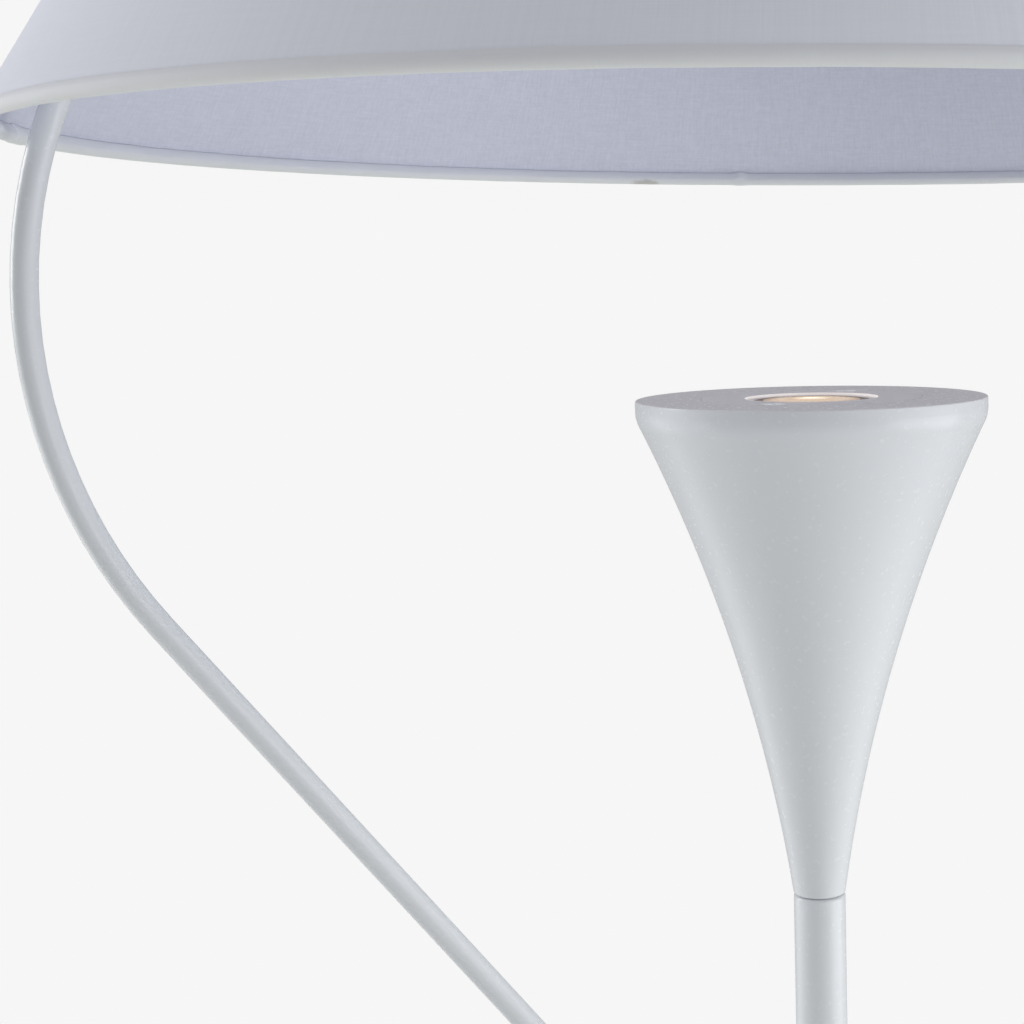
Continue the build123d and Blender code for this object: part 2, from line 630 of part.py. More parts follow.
NODES = {
    "stem_tube": stem_tube(),
    "stem_cable": stem_cable(),
    "neck_plug": neck_plug(),
    "neck_nut": neck_nut(),
    "trumpet_shell": trumpet_shell(),
    "lamp_cover": lamp_cover(),
    "cover_screws": Compound(cover_screws()),
    "lamp_strap": lamp_strap(),
    "lamp_holder": lamp_holder(),
    "holder_screws": Compound(holder_screws()),
    "lamp_body": lamp_body(),
    "lamp_pins": Compound(lamp_pins()),
    "lamp_lens": lamp_lens(),
    "hub_body": hub_body(),
    "hub_base": hub_base(),
    "hub_screws": Compound(hub_screws()),
    "grub_screws": Compound(grub_screws()),
    "cord_gland": cord_gland(),
    "dimmer_module": dimmer_module(),
    "terminal_block": terminal_block(),
    "button_bezel": button_bezel(),
    "dimmer_button": dimmer_button(),
    "arm_rod": arm_rod(),
    "arm_head": drooped(arm_head()),
    "shade_washers": drooped(Compound(shade_washers())),
    "shade_nut": drooped(shade_nut()),
    "spider": drooped(spider()),
    "top_ring": drooped(wire_ring(RING_TOP_R, RING_TOP_Z, RING_R)),
    "top_hem": drooped(Compound(top_hem())),
    "bottom_ring": drooped(wire_ring(RING_RIM_R, RING_RIM_Z, RING_R)),
    "bottom_hem": drooped(hem(RING_RIM_R, RING_RIM_Z)),
    "shade_cover": drooped(shade_sheet(COVER_IN, HEM_R)),
    "shade_lining": drooped(shade_sheet(LINING_IN, LINING_OUT)),
    "seam_tape": drooped(seam_tape()),
}
for n, degrees in enumerate(LEG_ANGLES, start=1):
    NODES[f"leg_{n}"] = leg(degrees)
    NODES[f"foot_tip_{n}"] = foot_tip(degrees)

os.makedirs("parts", exist_ok=True)
for name, solid in NODES.items():
    export_step(solid, f"parts/{name}.step")
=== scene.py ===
import json
import math

import bpy
from mathutils import Matrix, Vector, noise


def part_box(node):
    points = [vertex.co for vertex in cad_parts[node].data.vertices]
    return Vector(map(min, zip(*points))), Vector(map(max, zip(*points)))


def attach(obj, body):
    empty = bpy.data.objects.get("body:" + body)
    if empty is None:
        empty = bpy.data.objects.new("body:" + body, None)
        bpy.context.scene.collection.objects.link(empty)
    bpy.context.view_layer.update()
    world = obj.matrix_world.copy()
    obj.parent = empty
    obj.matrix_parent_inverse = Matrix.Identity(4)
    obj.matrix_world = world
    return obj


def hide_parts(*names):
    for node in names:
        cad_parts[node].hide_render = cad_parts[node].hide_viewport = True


# A tripod floor lamp: a trumpet uplighter on a straight stem, and a bent arm that carries a wide conical
# shade over it. Metres, +Z up, the origin on the floor under the stem. The CAD nodes give every position.
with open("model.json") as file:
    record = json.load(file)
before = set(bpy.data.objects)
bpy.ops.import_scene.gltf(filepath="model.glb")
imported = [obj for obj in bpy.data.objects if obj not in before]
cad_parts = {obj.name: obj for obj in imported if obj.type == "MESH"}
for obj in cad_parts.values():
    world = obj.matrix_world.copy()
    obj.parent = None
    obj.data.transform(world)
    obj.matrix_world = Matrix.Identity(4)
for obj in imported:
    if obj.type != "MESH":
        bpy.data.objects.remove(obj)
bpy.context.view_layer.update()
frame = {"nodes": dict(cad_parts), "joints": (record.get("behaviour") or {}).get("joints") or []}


# ---- places taken from the frame ------------------------------------------------------------------
def shade_frame():
    """The shade's own axes: it is level round the arm's head, and tipped with the arm's drooping end."""
    joint = next(j for j in frame["joints"] if j["name"] == "shade_turn")
    pivot = Vector(joint["pos_m"])
    tip = Vector((0.0, 0.0, 1.0)).rotation_difference(Vector(joint["axis"])).to_matrix().to_4x4()
    return Matrix.Translation(pivot) @ tip @ Matrix.Translation(-pivot)


def ring_line(name):
    """Radius and height of a ring's centre line and half its thickness, in the shade's own axes."""
    back = SHADE_FRAME.inverted()
    points = [back @ vertex.co for vertex in frame["nodes"][name].data.vertices]
    low, high = min(p.z for p in points), max(p.z for p in points)
    half = (high - low) / 2
    return max(math.hypot(p.x, p.y) for p in points) - half, (low + high) / 2, half


TRUMPET_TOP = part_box("trumpet_shell")[1].z
SHADE_FRAME = shade_frame()
RIM_R, RIM_Z, _ = ring_line("bottom_ring")
CROWN_R, CROWN_Z, _ = ring_line("top_ring")
_, _, HEM_R = ring_line("bottom_hem")
SLOPE = math.atan2(RIM_R - CROWN_R, CROWN_Z - RIM_Z)
SLANT = math.hypot(RIM_R - CROWN_R, CROWN_Z - RIM_Z)


# ---- camera ---------------------------------------------------------------------------------------
CAMERA_REACH = 0.773      # from the stem's axis
CAMERA_RISE = 0.05435     # above the trumpet's top
CAMERA_TURN = math.radians(13.3)
CAMERA_PITCH = -0.1017
CAMERA_YAW = -0.0023
CAMERA_ROLL = 0.0166
CAMERA_LENS = 65.225
CAMERA_SENSOR = 36.0
CAMERA_SHIFT = (-0.2893, -0.055)
CAMERA_CLIP = (0.01, 100.0)


def make_camera():
    data = bpy.data.cameras.new("camera")
    data.sensor_width = CAMERA_SENSOR
    data.lens = CAMERA_LENS
    data.shift_x, data.shift_y = CAMERA_SHIFT
    data.clip_start, data.clip_end = CAMERA_CLIP
    forward = Vector((
        math.sin(CAMERA_YAW) * math.cos(CAMERA_PITCH),
        math.cos(CAMERA_YAW) * math.cos(CAMERA_PITCH),
        math.sin(CAMERA_PITCH),
    ))
    right = Vector((math.cos(CAMERA_YAW), -math.sin(CAMERA_YAW), 0.0))
    up = right.cross(forward)
    tilted_right = math.cos(CAMERA_ROLL) * right - math.sin(CAMERA_ROLL) * up
    tilted_up = math.sin(CAMERA_ROLL) * right + math.cos(CAMERA_ROLL) * up
    facing = Matrix((tilted_right, tilted_up, -forward)).transposed().to_4x4()
    place = Matrix.Translation((0.0, -CAMERA_REACH, TRUMPET_TOP + CAMERA_RISE))
    camera = bpy.data.objects.new("camera", data)
    bpy.context.scene.collection.objects.link(camera)
    camera.matrix_world = Matrix.Rotation(-CAMERA_TURN, 4, "Z") @ place @ facing
    bpy.context.scene.camera = camera


# ---- building meshes ------------------------------------------------------------------------------
FINE_SPLIT = 4            # how many times closer the steps are near a place that needs it


def new_piece(name, shape, body, replaced, finish, place=None):
    """A finished mesh piece: linked, shaded, dressed and tied to the frame. shape is points and faces."""
    points, faces = shape
    mesh = bpy.data.meshes.new(name)
    mesh.from_pydata(points, [], faces)
    mesh.update()
    for face in mesh.polygons:
        face.use_smooth = True
    mesh.materials.append(finish)
    piece = bpy.data.objects.new(name, mesh)
    bpy.context.scene.collection.objects.link(piece)
    if place is not None:
        piece.matrix_world = place
    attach(piece, body)
    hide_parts(replaced)
    return piece


def looped(sections):
    """Points and faces of a ring whose closed cross sections follow one another all the way round."""
    count, size = len(sections), len(sections[0])
    points = [point for section in sections for point in section]
    faces = []
    for i in range(count):
        here, there = i * size, (i + 1) % count * size
        for j in range(size):
            k = (j + 1) % size
            faces.append((here + j, there + j, there + k, here + k))
    return points, faces


def around(radius, turn, z):
    return (radius * math.cos(turn), radius * math.sin(turn), z)


def steps(count, fine_at=(), fine_width=0.0):
    """Angles round the whole circle, closer together near the given places."""
    turns = [2 * math.pi * i / count for i in range(count)]
    gap = 2 * math.pi / count
    for place in fine_at:
        extra = int(fine_width / gap * FINE_SPLIT)
        turns += [place + (i + 0.5) * gap / FINE_SPLIT for i in range(-extra, extra)]
    return sorted(set(round(turn % (2 * math.pi), 6) for turn in turns))


def apart(turn, place):
    """The signed angle from a place on the circle to a turn."""
    return (turn - place + math.pi) % (2 * math.pi) - math.pi


def smooth_step(value, low, high):
    share = min(1.0, max(0.0, (value - low) / (high - low)))
    return share * share * (3.0 - 2.0 * share)


def slow_wave(turn, along, pitch, seed):
    """Gentle unevenness on the shade, as a number from -1 to 1; pitch is the size of its swells."""
    return noise.noise(Vector(around(RIM_R / pitch, turn, along / pitch + seed)))


def on_wall(along, offset, turn, rise=1):
    """A point of the shade: along the slope from the lower ring's centre line, and out from the line
    between both rings. With rise -1 it is measured down the slope from the upper ring."""
    start_r, start_z = (RIM_R, RIM_Z) if rise > 0 else (CROWN_R, CROWN_Z)
    radius = start_r - rise * along * math.sin(SLOPE) + offset * math.cos(SLOPE)
    return around(radius, turn, start_z + rise * along * math.cos(SLOPE) + offset * math.sin(SLOPE))


# ---- the shade's cloths ---------------------------------------------------------------------------
COVER_OUT = 0.00262       # outer face of the cover, from the rings' line
COVER_T = 0.00035
COVER_SWELL = 0.00022     # how far the cover's unevenness reaches, then the lining's
LINING_SWELL = 0.00014
COVER_SEED = 2.0
LINING_SEED = 8.0
SWELL_PITCH = 0.045
TAUT_EDGE = (0.004, 0.03)     # the cloth lies flat up to the first and is free beyond the second
LINING_OUT = 0.00222
LINING_IN = 0.00180
TUCK = 0.00025            # how far the cloth sinks where it goes under a hem
TUCK_LENGTH = 0.0035
FLAP = 0.0016             # the hem's outer flap ends this far above the ring's centre line
UNDER_FLAP = 0.0012       # the cloth goes this far in under the flap
SEAM_TURN = 0.0           # where the cover's upright joint is
SEAM_HALF = 0.0045
SEAM_RISE = 0.00022
SEAM_BLUR = 0.0006
SHEET_STEPS = 720
SHEET_ROWS = 44
SEAM_FINE = 0.03          # the angle either side of the joint with closer steps


def seam_rise(turn):
    """The cover's overlapped joint stands up by a little less than one thickness of cloth."""
    arc = abs(apart(turn, SEAM_TURN)) * RIM_R
    return SEAM_RISE * (1.0 - smooth_step(arc, SEAM_HALF - SEAM_BLUR, SEAM_HALF + SEAM_BLUR))


def sheet_sections(turns, outer, inner, swell, seed, is_cover):
    """Closed sections of a thin conical sheet, up its outer face and down its inner one."""
    sections = []
    first, last = FLAP - UNDER_FLAP, SLANT - FLAP + UNDER_FLAP
    for turn in turns:
        outside, inside = [], []
        for row in range(SHEET_ROWS + 1):
            along = first + (last - first) * (0.5 - 0.5 * math.cos(math.pi * row / SHEET_ROWS))
            edge = min(along, SLANT - along)
            shift = swell * smooth_step(edge, *TAUT_EDGE) * slow_wave(turn, along, SWELL_PITCH, seed)
            tucked = TUCK * (1.0 - smooth_step(edge, FLAP, FLAP + TUCK_LENGTH)) if is_cover else 0.0
            lift = seam_rise(turn) if is_cover else 0.0
            outside.append(on_wall(along, outer + shift - tucked + lift, turn))
            inside.append(on_wall(along, inner + shift - tucked, turn))
        sections.append(outside + inside[::-1])
    return sections


# ---- the shade's hems -----------------------------------------------------------------------------
TAPE_T = 0.000315
FOLD = 0.0031             # the hem's inner edge is this far above the ring's centre line
# The tape's section is a line of (along the slope, out from the rings' line).
FLAP_START = 0.00008      # the flap's edge lies this far clear of the tucked cloth
FLAP_STEPS = [(0.00006, 0.00020), (-0.00012, 0.00030), (-0.0006, 0.00036)]  # from the edge and the cloth
SHOULDER = (0.0004, -0.00005)      # its offset counts from the tape round the wire
ARC_POINTS = 15
ARC_START = 2.0           # degrees
ARC_STEP = 13.0
INSIDE_STEPS = [(0.0010, -0.00268), (0.0019, -0.00240)]
FOLD_STEPS = [(-0.0009, -0.00195), (-0.0004, -0.00140), (0.0001, -0.00040)]  # from the fold's edge
FOLD_TOP = (0.0005, 0.00080)
FOLD_END = (0.0006, -0.00012)      # its offset counts from the lining's inner face
# Unevenness: depth, size of the swells, seed.
CRIMPS = (0.00005, 0.004, 3.0)
RUFFLES = (0.00009, 0.017, 5.0)
EDGE_WANDER = (0.00025, 0.03, 7.0)
FOLD_WANDER = (0.00025, 0.026, 11.0)
CROWN_SEED = 9.0
PUCKER_TURN = math.radians(83.6)   # a small pucker in the hem
PUCKER_RISE = (0.0011, 0.0028)     # how far it lifts the fold, and its half width
PUCKER_OUT = (0.0003, 0.0035)      # and how far it stands out
JOINT_TURN = math.radians(174.5)   # where the hem's ends overlap
JOINT_HALF = 0.0075
JOINT_BLUR = 0.0005
JOINT_OUT = 0.00034
JOINT_RISE = 0.0006
RIM_STEPS = 1500
RIM_FINE = 0.05
CROWN_STEPS = 900


def wander(unevenness, turn, crown_seed):
    depth, pitch, seed = unevenness
    return depth * slow_wave(turn, crown_seed, pitch, seed)


def tape_path(turn, outset, rise, crown_seed):
    """The hem tape's outer face in section, as (along, offset): down the outside, round the wire and up
    the inside until it meets the lining."""
    ruffle = wander(CRIMPS, turn, crown_seed) + wander(RUFFLES, turn, crown_seed)
    edge = FLAP + wander(EDGE_WANDER, turn, crown_seed)
    bulge = outset + ruffle
    path = [(edge, COVER_OUT - TUCK + FLAP_START)]
    path += [(edge + along, COVER_OUT - TUCK + out + bulge) for along, out in FLAP_STEPS]
    path.append((SHOULDER[0], HEM_R + SHOULDER[1] + bulge))
    for i in range(ARC_POINTS):
        bend = math.radians(ARC_START - i * ARC_STEP)
        radius = HEM_R + bulge
        path.append((radius * math.sin(bend), radius * math.cos(bend)))
    upper = FOLD + rise + wander(FOLD_WANDER, turn, crown_seed)
    path += [(along, out - bulge) for along, out in INSIDE_STEPS]
    path += [(upper + along, out - bulge) for along, out in FOLD_STEPS]
    path.append((upper + FOLD_TOP[0], FOLD_TOP[1]))
    path.append((upper + FOLD_END[0], LINING_IN + FOLD_END[1]))
    return path


def inset(path, depth):
    """The same open line moved towards its own inner side."""
    moved = []
    for i, (along, offset) in enumerate(path):
        before, after = path[max(0, i - 1)], path[min(len(path) - 1, i + 1)]
        run = (after[0] - before[0], after[1] - before[1])
        long = math.hypot(*run) or 1.0
        moved.append((along - run[1] / long * depth, offset + run[0] / long * depth))
    return moved


def hem_marks(turn):
    """How far the lower hem's pucker and its overlapped ends push it out and lift its fold."""
    arc = apart(turn, PUCKER_TURN) * RIM_R
    rise = PUCKER_RISE[0] * math.exp(-(arc / PUCKER_RISE[1]) ** 2)
    outset = PUCKER_OUT[0] * math.exp(-(arc / PUCKER_OUT[1]) ** 2)
    join = apart(turn, JOINT_TURN) * RIM_R
    over = smooth_step(join, -JOINT_HALF - JOINT_BLUR, -JOINT_HALF)
    over -= smooth_step(join, JOINT_HALF, JOINT_HALF + JOINT_BLUR)
    outset += JOINT_OUT * over
    rise += JOINT_RISE * over * (0.5 + 0.5 * join / JOINT_HALF)
    return outset, rise


def tape_sections(turns, crown):
    """Sections of a hem tape folded round a ring; the lower one has its marks."""
    rise_way = -1 if crown else 1
    sections = []
    for turn in turns:
        outset, rise = (0.0, 0.0) if crown else hem_marks(turn)
        outer = tape_path(turn, outset, rise, CROWN_SEED if crown else 0.0)
        inner = inset(outer, TAPE_T)
        ring = [on_wall(a, o, turn, rise_way) for a, o in outer + inner[::-1]]
        sections.append(ring)
    return sections


def make_shade():
    turns = steps(SHEET_STEPS, (SEAM_TURN,), SEAM_FINE)
    shape = looped(sheet_sections(turns, COVER_OUT, COVER_OUT - COVER_T, COVER_SWELL, COVER_SEED, True))
    cover = new_piece("cover_cloth", shape, "shade", "shade_cover", cover_cloth(),
                      SHADE_FRAME)
    shape = looped(sheet_sections(turns, LINING_OUT, LINING_IN, LINING_SWELL, LINING_SEED, False))
    lining = new_piece("lining_cloth", shape, "shade", "shade_lining", lining_cloth(),
                       SHADE_FRAME)
    shape = looped(tape_sections(steps(RIM_STEPS, (PUCKER_TURN, JOINT_TURN), RIM_FINE), False))
    low_hem = new_piece("lower_hem_tape", shape, "shade", "bottom_hem", tape_cloth(True),
                        SHADE_FRAME)
    shape = looped(tape_sections(steps(CROWN_STEPS), True))
    high_hem = new_piece("upper_hem_tape", shape, "shade", "top_hem", tape_cloth(False),
                         SHADE_FRAME)


# ---- the lamp's optic -----------------------------------------------------------------------------
OPTIC_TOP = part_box("lamp_lens")[1].z - 0.00005
OPTIC_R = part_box("lamp_lens")[1].x - 0.0001
OPTIC_RISE = 0.0008       # how far the optic is domed
OPTIC_DEPTH = 0.0026
OPTIC_LIP = 0.0008        # the plain lip at its edge
OPTIC_BEVEL = 0.0001
CUP_R = 0.0056            # the clear bull's-eye
CUP_RINGS = 7
CUP_DIP = 0.0003
GROOVE = 0.0004           # the groove round it
GROOVE_DIP = 0.0006
FACET_ROWS = 4
FACET_COUNT = 30
FACET_SPLIT = 4
FACET_END = 0.0014        # the facets stop this far short of the edge
FACET_STEPS = [(0.12, 0.00035), (0.5, 0.0), (0.88, 0.00035), (1.0, GROOVE_DIP)]
CREST_DIP = 0.0003        # the depth between two facets of a row
CREST_FROM = CUP_R + 0.0005
CREST_TO = 0.0012         # and its end, short of the edge


def dome(radius):
    """Height of the optic's domed face."""
    return OPTIC_TOP - OPTIC_RISE * (radius / OPTIC_R) ** 2


def optic_rings():
    """The optic's rings from the middle out, as (radius, height, share of a facet it is turned by)."""
    rings = []
    for i in range(CUP_RINGS):
        share = i / (CUP_RINGS - 1)
        rings.append((CUP_R * share, dome(0.0) - CUP_DIP * share ** 2, 0.0))
    rings.append((CUP_R + GROOVE, dome(CUP_R) - GROOVE_DIP, 0.0))
    width = (OPTIC_R - FACET_END - CUP_R - GROOVE) / FACET_ROWS
    for row in range(FACET_ROWS):
        start = CUP_R + GROOVE + row * width
        tilt = 0.5 * (row % 2)
        for share, dip in FACET_STEPS:
            radius = start + width * share
            rings.append((radius, dome(radius) - dip, tilt))
    rings.append((OPTIC_R - OPTIC_LIP, dome(OPTIC_R), 0.0))
    rings.append((OPTIC_R - OPTIC_BEVEL, dome(OPTIC_R), 0.0))
    rings.append((OPTIC_R, dome(OPTIC_R) - OPTIC_BEVEL, 0.0))
    rings.append((OPTIC_R, dome(OPTIC_R) - OPTIC_DEPTH, 0.0))
    return rings


def make_optic():
    """A moulded lens: a clear bull's-eye in a ring of small facets, seated in the lamp's bezel."""
    rings = optic_rings()
    points = [(0.0, 0.0, rings[0][1])]
    count = FACET_COUNT * FACET_SPLIT
    half = FACET_SPLIT / 2
    for radius, z, tilt in rings[1:]:
        faceted = CREST_FROM < radius < OPTIC_R - CREST_TO
        for j in range(count):
            turn = 2 * math.pi * (j + tilt * FACET_SPLIT) / count
            crest = abs((j % FACET_SPLIT) - half) / half if faceted else 0.0
            points.append(around(radius, turn, z - CREST_DIP * crest))
    faces = [(0, 1 + j, 1 + (j + 1) % count) for j in range(count)]
    for i in range(len(rings) - 2):
        here, there = 1 + i * count, 1 + (i + 1) * count
        for j in range(count):
            k = (j + 1) % count
            faces.append((here + j, there + j, there + k, here + k))
    last = 1 + (len(rings) - 2) * count
    faces.append(tuple(last + j for j in reversed(range(count))))
    new_piece("moulded_optic", (points, faces), "stand", "lamp_lens", optic())


# ---- node helpers ---------------------------------------------------------------------------------
LEVEL = (1.0, 1.0, 0.0)   # leaves a place's height out


def node(tree, kind, inputs=None, **settings):
    """A shader node with its settings, input values and links."""
    made = tree.nodes.new("ShaderNode" + kind)
    for name, value in settings.items():
        setattr(made, name, value)
    for name, value in (inputs or {}).items():
        if isinstance(value, bpy.types.NodeSocket):
            tree.links.new(value, made.inputs[name])
        else:
            made.inputs[name].default_value = value
    return made


def add(tree, first, second):
    return node(tree, "Math", {0: first, 1: second}, operation="ADD").outputs[0]


def times(tree, first, second):
    return node(tree, "Math", {0: first, 1: second}, operation="MULTIPLY").outputs[0]


def vector_math(tree, operation, first, second):
    return node(tree, "VectorMath", {0: first, 1: second}, operation=operation).outputs[0]


def length_of(tree, value):
    return node(tree, "VectorMath", {0: value}, operation="LENGTH").outputs["Value"]


def unit_of(tree, value):
    return node(tree, "VectorMath", {0: value}, operation="NORMALIZE").outputs[0]


def own_place(tree):
    """Coordinates on the object itself, in metres."""
    return node(tree, "TexCoord").outputs["Object"]


def own_height(tree):
    return node(tree, "SeparateXYZ", {0: own_place(tree)}).outputs["Z"]


def blend_colours(tree, share, first, second):
    """Two colours mixed by a share from 0 to 1."""
    made = node(tree, "Mix", {0: share}, data_type="RGBA")
    for place, colour in ((6, first), (7, second)):
        if isinstance(colour, bpy.types.NodeSocket):
            tree.links.new(colour, made.inputs[place])
        else:
            made.inputs[place].default_value = (*colour, 1.0)
    return made.outputs[2]


def spots(tree, scale, detail=2.0, place=None):
    """A noise pattern from 0 to 1 on the object's own coordinates, scale in features a metre."""
    settings = {"Vector": place or own_place(tree), "Scale": scale, "Detail": detail, "Roughness": 0.5}
    return node(tree, "TexNoise", settings).outputs["Fac"]


def spread(tree, value, low, high, to_low=0.0, to_high=1.0):
    inputs = {"Value": value, "From Min": low, "From Max": high, "To Min": to_low, "To Max": to_high}
    return node(tree, "MapRange", inputs).outputs[0]


def bump(tree, relief, distance, strength):
    inputs = {"Height": relief, "Distance": distance, "Strength": strength}
    return node(tree, "Bump", inputs).outputs["Normal"]


def material(name, colour, roughness, **sockets):
    """A new Principled material; other sockets are named with underscores for spaces."""
    made = bpy.data.materials.new(name)
    made.use_nodes = True
    tree = made.node_tree
    shader = tree.nodes["Principled BSDF"]
    shader.inputs["Base Color"].default_value = (*colour, 1.0)
    shader.inputs["Roughness"].default_value = roughness
    for key, value in sockets.items():
        shader.inputs[key.replace("_", " ")].default_value = value
    return made, tree, shader


def link_colour(tree, shader, colour):
    tree.links.new(colour, shader.inputs["Base Color"])


def link_relief(tree, shader, relief, distance, strength):
    tree.links.new(bump(tree, relief, distance, strength), shader.inputs["Normal"])


def link_roughness(tree, shader, pattern, low, high):
    """Roughness that follows the middle part of a noise pattern."""
    tree.links.new(spread(tree, pattern, 0.3, 0.7, low, high), shader.inputs["Roughness"])


def threads(tree, across, along):
    """Fine streaks on the shade's cone with no join, across features a metre round it and along up it:
    warp threads up the cone where across is the larger, weft round it otherwise."""
    place = own_place(tree)
    unit = unit_of(tree, vector_math(tree, "MULTIPLY", place, LEVEL))
    wide = across * RIM_R
    ring = vector_math(tree, "MULTIPLY", unit, (wide, wide, 0.0))
    lift = vector_math(tree, "MULTIPLY", place, (0.0, 0.0, along))
    return spots(tree, 1.0, 2.0, vector_math(tree, "ADD", ring, lift))


def tone(tree, colour, share, depth):
    """A colour made a little darker and lighter by a pattern."""
    dark = tuple(c * (1.0 - depth) for c in colour)
    light = tuple(min(1.0, c * (1.0 + depth)) for c in colour)
    return blend_colours(tree, share, dark, light)


def above(tree, level, blur):
    """A share that turns from 0 to 1 where the height passes a level."""
    return spread(tree, own_height(tree), level - blur, level + blur)


# ---- paint ----------------------------------------------------------------------------------------
PAINT = (0.770, 0.800, 0.825)
# Painted light: a lighter, warmer copy of the white paint for the lid and the trumpet's flat top, for how
# light falls on the upward faces.
TOP_PAINTED_LIGHT = (0.940, 0.908, 0.905)
WIRE_PAINT = (0.780, 0.790, 0.810)
PAINT_GLOSS = 0.27
LID_GLOSS = 0.30
WIRE_GLOSS = 0.42
PEEL_SCALE = 260.0
PEEL_DEPTH = 0.000004
DRIFT_SCALE = 420.0
DRIFT_DEPTH = 0.003
GLOSS_LESS = 0.004
GLOSS_MORE = 0.005
PAINTED_TOP_EDGE = (0.0003, 0.0001)  # the painted top light starts this far below the flat top, over this blur
HOLE_R = 0.0280           # just outside the wall of the lid's hole
HOLE_BLUR = 0.0001
HOLE_GLOW = 0.42
GLOW_COLOUR = (1.0, 0.93, 0.88)
GLOW_EDGE = (0.0010, 0.00025)
GLOW_BELOW = 0.35         # the share of the glow that reaches the lower part of the wall


def paint(name, colour, gloss=PAINT_GLOSS, hole_glow=0.0, painted_top_height=0.0):
    """Satin powder coat: a faint orange peel, a little unevenness in gloss and tone."""
    made, tree, shader = material(name, colour, gloss, Specular_IOR_Level=0.5)
    peel = spots(tree, PEEL_SCALE)
    drift = spots(tree, DRIFT_SCALE, 3.0)
    tinted = tone(tree, colour, drift, DRIFT_DEPTH)
    # Painted light: the flat top gets the lighter, warmer top colour, for how light falls on it.
    if painted_top_height:
        tinted = blend_colours(tree, above(tree, painted_top_height - PAINTED_TOP_EDGE[0], PAINTED_TOP_EDGE[1]), tinted, TOP_PAINTED_LIGHT)
    link_colour(tree, shader, tinted)
    link_roughness(tree, shader, drift, gloss - GLOSS_LESS, gloss + GLOSS_MORE)
    link_relief(tree, shader, peel, PEEL_DEPTH, strength=0.6)
    if hole_glow:
        light_wall(tree, shader, hole_glow)
    return made


def light_wall(tree, shader, glow):
    """Adds the lamp's spill on the wall of the hole round it, mostly on the wall's upper part."""
    reach = length_of(tree, vector_math(tree, "MULTIPLY", own_place(tree), LEVEL))
    outside = spread(tree, reach, HOLE_R - HOLE_BLUR, HOLE_R + HOLE_BLUR)
    inside = spread(tree, outside, 0.0, 1.0, glow, 0.0)
    upper = above(tree, TRUMPET_TOP - GLOW_EDGE[0], GLOW_EDGE[1])
    strength = times(tree, inside, spread(tree, upper, 0.0, 1.0, GLOW_BELOW, 1.0))
    shader.inputs["Emission Color"].default_value = (*GLOW_COLOUR, 1.0)
    tree.links.new(strength, shader.inputs["Emission Strength"])


# ---- cloth ----------------------------------------------------------------------------------------
COVER_COLOUR = (0.845, 0.870, 0.975)
COVER_CLOUD = (0.86, 0.880, 0.96)
LINING_COLOUR = (0.662, 0.684, 0.790)
LINING_SLUB = (0.71, 0.73, 0.83)
TAPE_COLOUR = (0.750, 0.775, 0.785)
TAPE_AGED = (0.745, 0.765, 0.740)
TAPE_CLEAN = (0.790, 0.812, 0.880)
TAPE_CLEAN_FROM = (0.0016, 0.0022)  # below and above the ring's centre line, where the tape gets cleaner
STAIN_COLOUR = (0.42, 0.41, 0.37)
STAIN_TURN = math.radians(93.8)
STAIN_SQUASH = (1.0, 1.0, 3.4)
STAIN_EDGE = (0.0085, 0.0125)


def cover_cloth():
    """Closely woven cotton: fine upright threads, slight slubs round the cone and a soft bloom."""
    made, tree, shader = material("cover_cloth", COVER_COLOUR, 0.85, Sheen_Weight=0.12,
                                  Sheen_Roughness=0.45)
    warp = threads(tree, across=1500.0, along=24.0)
    weft = threads(tree, across=45.0, along=1600.0)
    clouds = threads(tree, across=22.0, along=14.0)
    weave = add(tree, warp, times(tree, weft, 0.6))
    woven = tone(tree, COVER_COLOUR, spread(tree, weave, 0.55, 1.05), 0.020)
    cloudy = spread(tree, clouds, 0.35, 0.65, 0.0, 0.22)
    link_colour(tree, shader, blend_colours(tree, cloudy, woven, COVER_CLOUD))
    tree.links.new(spread(tree, weave, 0.5, 1.1, 0.78, 0.92), shader.inputs["Roughness"])
    link_relief(tree, shader, weave, distance=0.00006, strength=0.5)
    return made


def lining_cloth():
    """Slubby linen, more open than the cover: crossed threads with thicker runs here and there."""
    made, tree, shader = material("lining_cloth", LINING_COLOUR, 0.9, Sheen_Weight=0.15,
                                  Sheen_Roughness=0.5)
    warp = threads(tree, across=1000.0, along=90.0)
    weft = threads(tree, across=90.0, along=1100.0)
    slubs = spread(tree, threads(tree, across=60.0, along=420.0), 0.56, 0.74)
    grain = threads(tree, across=620.0, along=560.0)
    weave = add(tree, add(tree, warp, weft), grain)
    woven = tone(tree, LINING_COLOUR, spread(tree, weave, 1.1, 1.9), 0.055)
    link_colour(tree, shader, blend_colours(tree, times(tree, slubs, 0.35), woven, LINING_SLUB))
    relief = add(tree, weave, times(tree, slubs, 0.8))
    link_relief(tree, shader, relief, distance=0.00010, strength=0.6)
    return made


def stained(tree, colour):
    """The one rubbed mark under the lower hem."""
    spot = around(RIM_R, STAIN_TURN, RIM_Z - HEM_R * 0.9)
    away = vector_math(tree, "SUBTRACT", own_place(tree), spot)
    reach = length_of(tree, vector_math(tree, "MULTIPLY", away, STAIN_SQUASH))
    ragged = add(tree, reach, times(tree, spots(tree, 420.0), 0.006))
    worn = spread(tree, ragged, *STAIN_EDGE, 0.62, 0.0)
    return blend_colours(tree, worn, colour, STAIN_COLOUR)


